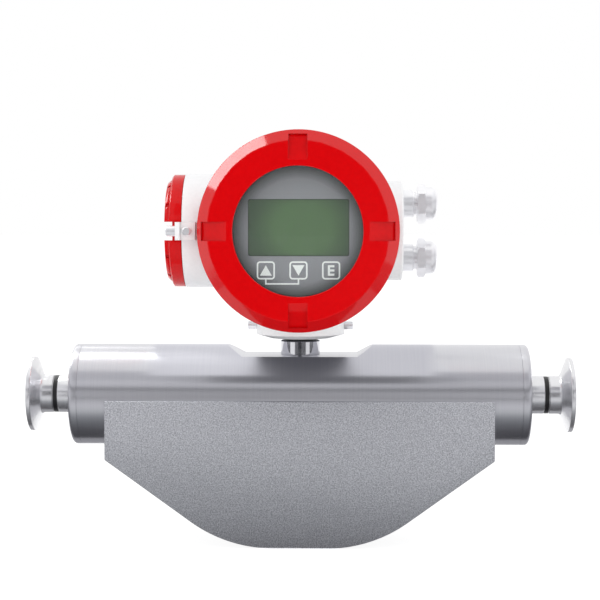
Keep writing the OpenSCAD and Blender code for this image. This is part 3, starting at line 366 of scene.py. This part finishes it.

# %% [markdown]
# ### Panel and printing
# The panel behind the window is a grey plastic foil with a fine matt grain, and the deep ring of
# the cover keeps light from its rim. The lamps alone leave that shade too weak, so a painted
# shade darkens the foil over the last 8 mm before the rim. The marks on the keys are white ink.

# %% Panel and printing
window_radius = 41.7 * MM
rim_painted_shade = 8 * MM
foil, tree, shader = new_finish("grey_foil")
place = add(tree, "ShaderNodeTexCoord").outputs["Object"]
from_head = add(tree, "ShaderNodeVectorMath", {0: place, 1: head}, operation="SUBTRACT")
from_axis = add(tree, "ShaderNodeVectorMath", {
    0: from_head.outputs[0], 1: (1, 0, 1)}, operation="MULTIPLY")
radius = add(tree, "ShaderNodeVectorMath", {0: from_axis.outputs[0]}, operation="LENGTH")
towards_rim = add(tree, "ShaderNodeMapRange", {
    "Value": radius.outputs["Value"],
    "From Min": window_radius - rim_painted_shade, "From Max": window_radius})
# Painted shade: the foil's grey fades to a dark grey at the rim.
foil_with_painted_shade = add(tree, "ShaderNodeMix", {
    "Factor": towards_rim.outputs[0],
    "A": two_tones(tree, spots(tree, 0.8 * MM), 0.3, "#8d8c92", 0.7, "#939298"),
    "B": colour("#48494c")}, data_type="RGBA")
fill(tree, shader, {"Base Color": foil_with_painted_shade.outputs["Result"], "Roughness": 0.5})
dress(foil, "display_bezel")

ink, tree, shader = new_finish("white_ink")
fill(tree, shader, {
    "Base Color": two_tones(tree, spots(tree, 1.0 * MM), 0.3, "#fcfcfc", 0.7, "#ffffff"),
    "Roughness": 0.5})
dress(ink, "key_marks")

# %% [markdown]
# ### Screen
# A plain liquid crystal display with green-grey glass. A painted pool of light makes it brightest
# a little right of the middle, and a dark border round its edge, partly the display's black mask
# and partly painted shade of its recess, makes it look sunk into the panel. Both are worked out
# from the distance to the screen's middle: the border as a rectangle with round corners, and the
# painted fall of light as an oval a little wider than high.

# %% Screen
lcd_low, lcd_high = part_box("lcd_module")
lcd_centre = (lcd_low + lcd_high) / 2
lcd_border = 2.5 * MM
view_half = Vector((
    (lcd_high.x - lcd_low.x) / 2 - lcd_border, (lcd_high.z - lcd_low.z) / 2 - lcd_border))
mask_and_shade_width = 1.1 * MM
corner = 2.4 * MM
painted_light_shift = 0.09 * view_half.x
painted_light_flatness = 0.62
screen, tree, shader = new_finish("screen_green")
place = add(tree, "ShaderNodeTexCoord").outputs["Object"]
from_middle = add(tree, "ShaderNodeVectorMath", {0: place, 1: lcd_centre}, operation="SUBTRACT")
split = add(tree, "ShaderNodeSeparateXYZ", {"Vector": from_middle.outputs[0]})


def past_corner(axis, half):
    """How far a point lies outside a smaller rectangle, along one axis of the screen."""
    size = add(tree, "ShaderNodeMath", {0: split.outputs[axis]}, operation="ABSOLUTE")
    past = add(tree, "ShaderNodeMath", {
        0: size.outputs[0], 1: half - corner}, operation="SUBTRACT")
    return add(tree, "ShaderNodeMath", {
        0: past.outputs[0], 1: 0.0}, operation="MAXIMUM").outputs[0]


in_corner = add(tree, "ShaderNodeCombineXYZ", {
    "X": past_corner("X", view_half.x), "Y": past_corner("Z", view_half.y)})
reach = add(tree, "ShaderNodeVectorMath", {0: in_corner.outputs[0]}, operation="LENGTH")
# Dark border: partly the display's black mask, partly painted shade of the sunken screen.
mask_and_shade = add(tree, "ShaderNodeMapRange", {
    "Value": reach.outputs["Value"], "From Min": corner - mask_and_shade_width, "From Max": corner})
# Painted pool of light: brightest a little right of the middle, darker outwards.
from_painted_light = add(tree, "ShaderNodeMath", {
    0: split.outputs["X"], 1: painted_light_shift}, operation="SUBTRACT")
painted_light_oval = add(tree, "ShaderNodeCombineXYZ", {
    "X": add(tree, "ShaderNodeMath", {
        0: from_painted_light.outputs[0], 1: 1 / view_half.x}, operation="MULTIPLY").outputs[0],
    "Y": add(tree, "ShaderNodeMath", {
        0: split.outputs["Z"], 1: painted_light_flatness / view_half.y},
        operation="MULTIPLY").outputs[0]})
painted_light_reach = add(tree, "ShaderNodeVectorMath", {0: painted_light_oval.outputs[0]}, operation="LENGTH")
screen_with_painted_shade = add(tree, "ShaderNodeMix", {
    "Factor": mask_and_shade.outputs[0],
    "A": two_tones(tree, painted_light_reach.outputs["Value"], 0.55, "#4b6a40", 1.0, "#344f30"),
    "B": colour("#1c281a")}, data_type="RGBA")
fill(tree, shader, {"Base Color": screen_with_painted_shade.outputs["Result"], "Roughness": 0.25})
dress(screen, "lcd_module")
print("screen view", [round(2 * v / MM, 1) for v in view_half], "mm")

# %% [markdown]
# ### Window glass
# A clear pane. Rays from lamps pass straight through it, as thin glass lets them, so that the
# panel behind it is lit; the camera's rays meet true glass.

# %% Glass
pane_tint = colour("#fafdfc")
glass, tree, shader = new_finish("window_glass")
fill(tree, shader, {
    "Base Color": pane_tint, "Roughness": 0.0, "IOR": 1.45, "Transmission Weight": 1.0})
path = add(tree, "ShaderNodeLightPath")
from_lamps = add(tree, "ShaderNodeMath", {
    0: path.outputs["Is Shadow Ray"], 1: path.outputs["Is Diffuse Ray"]}, operation="MAXIMUM")
clear = add(tree, "ShaderNodeBsdfTransparent", {"Color": pane_tint})
pane = add(tree, "ShaderNodeMixShader", {
    0: from_lamps.outputs[0], 1: shader.outputs[0], 2: clear.outputs[0]})
fill(tree, tree.nodes["Material Output"], {"Surface": pane.outputs[0]})
dress(glass, "window_glass")

# %% [markdown]
# ## Pieces with soft edges
# A cast, turned or ground part has no knife edges. A copy of a solid's mesh is merged, its flat
# faces are joined again, and its sharp edges are beveled by the small radius that the process
# leaves. The copy stands for the solid, rides on its body and keeps its form. A Bevel modifier
# could round it too, but only after the same merging, so one operator does the whole work.

# %% Soften edges


def show(name, shape, material, node, sharp=32):
    """Turns a bmesh into a piece that stands for a solid part."""
    mesh = bpy.data.meshes.new(name)
    shape.to_mesh(mesh)
    shape.free()
    mesh.polygons.foreach_set("use_smooth", [True] * len(mesh.polygons))
    mesh.set_sharp_from_angle(angle=math.radians(sharp))
    mesh.materials.append(material)
    piece = bpy.data.objects.new(name, mesh)
    bpy.context.scene.collection.objects.link(piece)
    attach(piece, body_of[node])
    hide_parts(node)
    return piece


def bevel_sharp(shape, width, sharp):
    """Rounds the edges that turn by more than sharp degrees, and returns how many they are."""
    edges = [edge for edge in shape.edges
             if len(edge.link_faces) == 2 and edge.calc_face_angle() > math.radians(sharp)]
    bmesh.ops.bevel(shape, geom=edges, offset=width, affect="EDGES", segments=2,
                    profile=0.5, clamp_overlap=True, material=-1)
    return len(edges)


def soften(node, name, width, material):
    """A copy of a solid part with its sharp edges rounded."""
    shape = bmesh.new()
    shape.from_mesh(nodes[node].data)
    bmesh.ops.remove_doubles(shape, verts=shape.verts, dist=0.004 * MM)
    bmesh.ops.dissolve_limit(shape, angle_limit=math.radians(0.3), verts=shape.verts,
                             edges=shape.edges, delimit={"NORMAL"})
    rounded = bevel_sharp(shape, width, sharp=28)
    piece = show(name, shape, material, node)
    print(name, rounded, "edges rounded,", len(piece.data.polygons), "faces")


for end in ("inlet", "outlet"):
    soften(end + "_ferrule", end + "_turned_ferrule", 0.35 * MM, turned)
    soften(end + "_stub", end + "_turned_stub", 0.3 * MM, turned)
    soften(end + "_end_cap", end + "_brushed_cap", 0.6 * MM, brushed)
for plate in ("case_front_plate", "case_back_plate"):
    soften(plate, "blasted_" + plate, 0.5 * MM, blasted)
soften("terminal_cover", "red_terminal_cover", 0.5 * MM, red)

# %% [markdown]
# ### The red front cover
# The cover is a cast ring turned on a lathe: a skirt, a sloping band, a flat face and a round
# window. Its profile is spun round the window's axis, and its edges are beveled before anything
# is cut, while they are still clean rings. The band has shallow flats for the hand. Cutting them
# would break the rings, so they are made by drawing the ring between face and band in towards a
# polygon.

# %% Front cover
cover_low, cover_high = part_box("front_cover")
seal_low, seal_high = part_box("front_cover_seal")
front_y, rear_y = cover_low.y, cover_high.y
cover_radius = (cover_high.x - cover_low.x) / 2
slope_width, slope_height = 7.1 * MM, 10 * MM
skirt_edge = 0.6 * MM
edge_round = 0.35 * MM
face_radius = cover_radius - slope_width
glass_radius = (window_high.x - window_low.x) / 2 + 0.1 * MM
thread_radius = (seal_high.x - seal_low.x) / 2 - 2 * MM
seat_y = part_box("glass_retainer")[1].y + 1.6 * MM
lip = 2.2 * MM
profile = [
    (thread_radius + lip, rear_y), (cover_radius - skirt_edge, rear_y),
    (cover_radius, rear_y - skirt_edge), (cover_radius, front_y + slope_height),
    (face_radius, front_y), (window_radius, front_y), (window_radius, window_low.y),
    (glass_radius, window_low.y), (glass_radius, seat_y), (thread_radius, seat_y),
    (thread_radius, rear_y - lip), (thread_radius + lip, rear_y - lip)]
ring_steps = 144
flats = 24
flat_share = 0.5  # 0 leaves a circle and 1 makes a full polygon


def spun_ring(points, centre, steps):
    """A closed profile of (radius, y) spun round an axis along Y."""
    shape = bmesh.new()
    corners = [shape.verts.new((centre.x + radius, y, centre.z)) for radius, y in points]
    edges = [shape.edges.new((a, b)) for a, b in zip(corners, corners[1:] + corners[:1])]
    bmesh.ops.spin(shape, geom=corners + edges, cent=(centre.x, 0, centre.z), axis=(0, 1, 0),
                   angle=2 * math.pi, steps=steps, use_merge=True)
    bmesh.ops.remove_doubles(shape, verts=shape.verts, dist=0.01 * MM)
    bmesh.ops.recalc_face_normals(shape, faces=shape.faces)
    return shape


cover = spun_ring(profile, head, ring_steps)
flat_turn = 2 * math.pi / flats
near = 0.1 * MM
for vert in cover.verts:
    across, up = vert.co.x - head.x, vert.co.z - head.z
    from_ring = abs(math.hypot(across, up) - face_radius)
    if from_ring < near and abs(vert.co.y - front_y) < near:
        off = (math.atan2(across, up) % flat_turn) - flat_turn / 2
        inwards = 1 - flat_share * (1 - math.cos(flat_turn / 2) / math.cos(off))
        vert.co.x = head.x + across * inwards
        vert.co.z = head.z + up * inwards
print("front cover:", bevel_sharp(cover, edge_round, sharp=20), "edges rounded")

# %% [markdown]
# Four wrench slots are cut last. A boolean would leave ragged rings of faces, so planes split
# the faces at the slots' sides, and the faces between them are pushed in, deeper outwards.

# %% Wrench slots
slot_half = 6.05 * MM
slot_inner = window_radius + 4 * MM
slot_outer = cover_radius - 3.2 * MM
slot_depth = 7.5 * MM
facing_front = -0.2
slot_ways = []
for quarter in range(4):
    turn = Matrix.Rotation(quarter * math.pi / 2, 3, "Y")
    slot_ways.append((turn @ Vector((0, 0, 1)), turn @ Vector((1, 0, 0))))

for way, side in slot_ways:
    for start, normal in (
            (slot_half * side, side), (-slot_half * side, side), (slot_inner * way, way),
            (slot_outer * way, way)):
        everything = cover.verts[:] + cover.edges[:] + cover.faces[:]
        bmesh.ops.bisect_plane(cover, geom=everything, plane_co=head + start, plane_no=normal,
                               dist=0.001 * MM)
for way, side in slot_ways:
    floor_faces = []
    for face in cover.faces:
        centre = face.calc_center_median() - head
        if (abs(centre.dot(side)) < slot_half and slot_inner < centre.dot(way) < slot_outer
                and face.normal.y < facing_front):
            floor_faces.append(face)
    moved = bmesh.ops.extrude_face_region(cover, geom=floor_faces)["geom"]
    old = [face for face in floor_faces if face.is_valid]
    if old:
        bmesh.ops.delete(cover, geom=old, context="FACES")
    for vert in (item for item in moved if isinstance(item, bmesh.types.BMVert)):
        share = ((vert.co - head).dot(way) - slot_inner) / (slot_outer - slot_inner)
        vert.co.y = front_y + slot_depth * share
bmesh.ops.remove_doubles(cover, verts=cover.verts, dist=0.005 * MM)
bmesh.ops.recalc_face_normals(cover, faces=cover.faces)
loose = [edge for edge in cover.edges if len(edge.link_faces) != 2]
red_cover = show("red_front_cover", cover, red, "front_cover", sharp=9)
print("front cover", len(red_cover.data.polygons), "faces,", len(loose), "open edges")

# %% [markdown]
# ## Studio
# The meter stands in a white room. Rays that show the background have to see plain white, while
# the light that the room gives back is a little weaker and greyer. A Light Path node tells the
# two kinds of ray apart, for the floor and for the world alike.

# %% Helpers for the studio


def seen_rays(tree):
    """1 for the rays that show the background: straight, in metal and through glass."""
    path = add(tree, "ShaderNodeLightPath")
    straight = add(tree, "ShaderNodeMath", {
        0: path.outputs["Is Camera Ray"], 1: path.outputs["Is Transmission Ray"]},
        operation="MAXIMUM")
    return add(tree, "ShaderNodeMath", {
        0: straight.outputs[0], 1: path.outputs["Is Glossy Ray"]}, operation="MAXIMUM").outputs[0]


def empty_tree(owner):
    """The node tree of a material or a world, with nothing in it."""
    owner.use_nodes = True
    owner.node_tree.nodes.clear()
    return owner.node_tree


def level_sheet(low, high, height):
    """A flat sheet between two corners (x, y), at one height."""
    shape = bmesh.new()
    bmesh.ops.create_grid(shape, x_segments=1, y_segments=1, size=0.5)
    bmesh.ops.scale(shape, verts=shape.verts, vec=(high[0] - low[0], high[1] - low[1], 1))
    bmesh.ops.translate(shape, verts=shape.verts, vec=(
        (low[0] + high[0]) / 2, (low[1] + high[1]) / 2, height))
    return shape


def studio_piece(name, shape, material):
    """Turns a bmesh into a piece of the studio."""
    mesh = bpy.data.meshes.new(name)
    shape.to_mesh(mesh)
    shape.free()
    mesh.materials.append(material)
    thing = bpy.data.objects.new(name, mesh)
    bpy.context.scene.collection.objects.link(thing)
    return thing


# %% [markdown]
# ### Floor
# The floor is white paper. Straight views of it, reflections and looks through glass show it as
# plain white with the meter's shadow, while the light that it throws back is a pale grey's. Most
# of its white is a glow, so that the shadow stays as weak as in a bright room.

# %% Floor
floor_half = 20
paper_glow_strength = 0.9
paper = bpy.data.materials.new("white_paper")
tree = empty_tree(paper)
grey_bounce = add(tree, "ShaderNodeBsdfDiffuse", {"Color": colour("#f4f4f4")})
lit_paper = add(tree, "ShaderNodeBsdfDiffuse", {"Color": colour("#8c8c8c")})
paper_glow = add(tree, "ShaderNodeEmission", {
    "Color": colour("#ffffff"), "Strength": paper_glow_strength})
white_look = add(tree, "ShaderNodeAddShader", {0: lit_paper.outputs[0], 1: paper_glow.outputs[0]})
pick = add(tree, "ShaderNodeMixShader", {
    0: seen_rays(tree), 1: grey_bounce.outputs[0], 2: white_look.outputs[0]})
add(tree, "ShaderNodeOutputMaterial", {"Surface": pick.outputs[0]})
sheet = level_sheet(
    (mid_x - floor_half, -floor_half), (mid_x + floor_half, floor_half), floor_z - 0.5 * MM)
studio_piece("studio_floor", sheet, paper)
print("floor at z =", round(floor_z, 4))

# %% [markdown]
# ### World
# The room gives most of the light, from all sides at once, and a little less from above. The
# rays that show the background see it as plain white.

# %% World
room_strength = 1.12
world = bpy.data.worlds.new("studio")
bpy.context.scene.world = world
tree = empty_tree(world)
split = add(tree, "ShaderNodeSeparateXYZ", {
    "Vector": add(tree, "ShaderNodeTexCoord").outputs["Generated"]})
room_light = two_tones(tree, split.outputs["Z"], 0.0, "#ffffff", 1.0, "#f0f0f2")
soft_light = add(tree, "ShaderNodeBackground", {"Color": room_light, "Strength": room_strength})
backdrop = add(tree, "ShaderNodeBackground", {"Color": colour("#ffffff"), "Strength": 1.0})
pick = add(tree, "ShaderNodeMixShader", {
    0: seen_rays(tree), 1: soft_light.outputs[0], 2: backdrop.outputs[0]})
add(tree, "ShaderNodeOutputWorld", {"Surface": pick.outputs[0]})
print("room light", room_strength)

# %% [markdown]
# ### Cards
# Polished steel shows the room it stands in. A studio for metal hangs dark and grey cards round
# it, so that its edges read dark against a white backdrop. These cards stand in rings round the
# meter and are seen only in reflections, so that they take no light from anything. The lowest
# ring is what the neck looks down at, and the rings above it show as lines along the pipe.

# %% Cards


def show_in_reflections_only(thing):
    """Hides a studio piece from the camera, from light and from glass."""
    thing.visible_camera = False
    thing.visible_diffuse = False
    thing.visible_transmission = False
    thing.visible_shadow = False


def new_glow(name):
    """A material that needs no lamp, its node tree and its Emission shader."""
    material = bpy.data.materials.new(name)
    tree = empty_tree(material)
    light = add(tree, "ShaderNodeEmission")
    add(tree, "ShaderNodeOutputMaterial", {"Surface": light.outputs[0]})
    return material, tree, light


def glow(name, code, strength=1.0):
    """A plain colour that needs no lamp."""
    material, tree, light = new_glow(name)
    fill(tree, light, {"Color": colour(code), "Strength": strength})
    return material


def standing_card(name, start, end, low, high, distance, material):
    """A curved card round the meter, from one bearing to another in degrees.

    Bearing 0 is the camera's side and 90 is the outlet's.
    """
    shape = bmesh.new()
    foot = shape.verts.new((0, -distance, low))
    top = shape.verts.new((0, -distance, high))
    edge = shape.edges.new((foot, top))
    turn = Matrix.Rotation(math.radians(start), 3, "Z")
    bmesh.ops.rotate(shape, verts=shape.verts, cent=(0, 0, 0), matrix=turn)
    bmesh.ops.spin(shape, geom=[foot, top, edge], cent=(0, 0, 0), axis=(0, 0, 1),
                   angle=math.radians(end - start), steps=16)
    bmesh.ops.translate(shape, verts=shape.verts, vec=(mid_x, 0, 0))
    show_in_reflections_only(studio_piece(name, shape, material))


card_distance = 1.2
waist_z, shoulder_z, line_z, brow_z, top_z = -0.045, 0.27, 0.43, 0.86, 1.9
bands = (
    # name, bearings, foot and top, colour, strength
    ("neck_dark_card", -31, 33, floor_z, waist_z, "#26262a", 1.0),
    ("neck_left_bright_card", -60, -31, floor_z, waist_z, "#ffffff", 1.2),
    ("neck_right_bright_card", 33, 57, floor_z, waist_z, "#f2f2f2", 1.2),
    ("left_grey_card", -100, -60, floor_z, waist_z, "#56565a", 1.0),
    ("right_grey_card", 57, 100, floor_z, waist_z, "#444448", 1.0),
    ("face_dark_card", -12, 8, waist_z, shoulder_z, "#26262a", 1.0),
    ("left_pale_card", -100, -12, waist_z, shoulder_z, "#dcdce0", 1.0),
    ("right_pale_card", 8, 100, waist_z, shoulder_z, "#dcdce0", 1.0),
    ("line_card", -12, 10, shoulder_z, line_z, "#48484c", 1.0),
    ("left_line_card", -100, -12, shoulder_z, line_z, "#88888c", 1.0),
    ("right_line_card", 10, 100, shoulder_z, line_z, "#68686c", 1.0),
    ("brow_card", -12, 10, line_z, brow_z, "#c4c4c8", 1.0),
    ("left_brow_card", -100, -12, line_z, brow_z, "#e8e8ec", 1.0),
    ("right_brow_card", 10, 100, line_z, brow_z, "#d4d4d8", 1.0),
    ("left_upper_card", -100, -15, brow_z, top_z, "#e2e2e6", 1.0),
    ("upper_shade_card", -15, 20, brow_z, top_z, "#8a8a90", 1.0),
    ("right_upper_card", 20, 100, brow_z, top_z, "#e6e6ea", 1.0))
for name, start, end, low, high, code, strength in bands:
    standing_card(name, start, end, low, high, card_distance, glow(name, code, strength))
print(len(bands), "standing cards,", card_distance, "m away")

# %% [markdown]
# Under the meter the table is in its own shade. In the polished tube this shows as a dark band
# that fades forwards, and ends sharply behind. A sheet just above the floor carries that shade
# as greys blended along Y.

# %% Shade under the meter
shade_half = 1.2
sheet_z = floor_z + 0.5 * MM
shade_stops = (
    # y, colour
    (-1.19, "#b4b4b8"), (-0.8, "#bababe"), (-0.45, "#c8c8cc"), (-0.25, "#dcdce0"),
    (-0.16, "#ced0d2"), (-0.11, "#9c9ea2"), (-0.07, "#7a7c80"), (-0.035, "#5e5e62"),
    (0.017, "#404044"))
shade_front, shade_back = shade_stops[0][0], shade_stops[-1][0]
shade, tree, light = new_glow("table_shade")
place = add(tree, "ShaderNodeSeparateXYZ", {
    "Vector": add(tree, "ShaderNodeTexCoord").outputs["Object"]})
along = add(tree, "ShaderNodeMapRange", {
    "Value": place.outputs["Y"], "From Min": shade_front, "From Max": shade_back})
fade = add(tree, "ShaderNodeValToRGB", {"Fac": along.outputs[0]})
fade.color_ramp.elements[0].color = colour(shade_stops[0][1])
fade.color_ramp.elements[1].color = colour(shade_stops[-1][1])
for y, code in shade_stops[1:-1]:
    stop = fade.color_ramp.elements.new((y - shade_front) / (shade_back - shade_front))
    stop.color = colour(code)
fill(tree, light, {"Color": fade.outputs["Color"], "Strength": 1.0})
sheet = level_sheet(
    (mid_x - shade_half, shade_front), (mid_x + shade_half, shade_back), sheet_z)
show_in_reflections_only(studio_piece("under_card", sheet, shade))
print("table shade from y =", shade_front, "to", shade_back)

# %% [markdown]
# Small glowing flags, seen only in reflections, lie close under the transmitter. They keep the
# red cover's reflection out of the polished pipe and paint there a dark reflection that stands
# for the shaded underside of the housing, between two pale sides. The last sheet is a grey
# painted reflection of the table's edge behind the shade.

# %% Flags over the pipe
flag_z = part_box("housing")[0].z - 0.5 * MM
flag_back, flag_middle, flag_front = 40 * MM, -50 * MM, -78 * MM
flag_left, flag_right = -29 * MM, 32 * MM
table_back = 0.13
# Each flag is a painted reflection; the dark one stands for the shaded underside of the housing.
flags = (
    # name, left and right of the middle, back, front, height, colour
    ("dark_pipe_flag", flag_left, flag_right, flag_back, flag_front, flag_z, "#5c5c62"),
    ("left_pipe_flag", -100 * MM, flag_left, flag_back, flag_middle, flag_z, "#f4f4f8"),
    ("right_pipe_flag", flag_right, 90 * MM, flag_back, flag_middle, flag_z, "#e8e8ec"),
    ("left_front_flag", -70 * MM, flag_left, flag_middle, flag_front, flag_z, "#808084"),
    ("right_front_flag", flag_right, 90 * MM, flag_middle, flag_front, flag_z, "#76767a"),
    ("table_edge_card", -shade_half, shade_half, table_back, shade_back, sheet_z, "#a4a4a8"))
for name, left, right, back, front, height, code in flags:
    sheet = level_sheet((mid_x + left, front), (mid_x + right, back), height)
    show_in_reflections_only(studio_piece(name, sheet, glow(name, code)))
print(len(flags), "level cards")

# %% [markdown]
# ### Lamps
# The room is bright from all sides, and lamps give its light a direction. A soft box stands in
# front and to the left, and a low one lights what the round cover shades. Two more boxes show
# only as glints: a long one on the cover's slope, and a narrow one along the top of the pipe.

# %% Lamps


def soft_box(name, place, target, width, length, power, glint=False, along=(0, 0, 1)):
    """A rectangular area lamp that looks at a point, with its long side along a direction.

    A glint shows only in reflections, and any other box only lights things.
    """
    lamp = bpy.data.lights.new(name, "AREA")
    lamp.shape = "RECTANGLE"
    lamp.size, lamp.size_y, lamp.energy = width, length, power
    back = (Vector(place) - Vector(target)).normalized()
    right = Vector(along).cross(back).normalized()
    box = bpy.data.objects.new(name, lamp)
    box.matrix_world = Matrix.Translation(place) @ Matrix(
        (right, back.cross(right), back)).transposed().to_4x4()
    box.visible_transmission = False
    box.visible_glossy = glint
    box.visible_diffuse = not glint
    bpy.context.scene.collection.objects.link(box)
    print(name, power, "W")


over_pipe = Vector((mid_x, 0, 0.05))
off_slope = Vector((-0.648, 0.342, 0.681))
soft_box("key_box", (mid_x - 0.8, -1.2, 0.62), head, 0.45, 0.45, 1.2)
soft_box("fill_box", (mid_x + 0.3, -1.1, 0.02), over_pipe, 0.6, 0.2, 0.8)
soft_box("slope_glint_box", head + 1.3 * off_slope, head, 0.36, 0.95, 8, glint=True,
         along=(0.743, 0, 0.669))
soft_box("pipe_glint_box", (mid_x - 0.52, 0.82, 0.76), over_pipe, 0.5, 0.14, 0.4, glint=True)
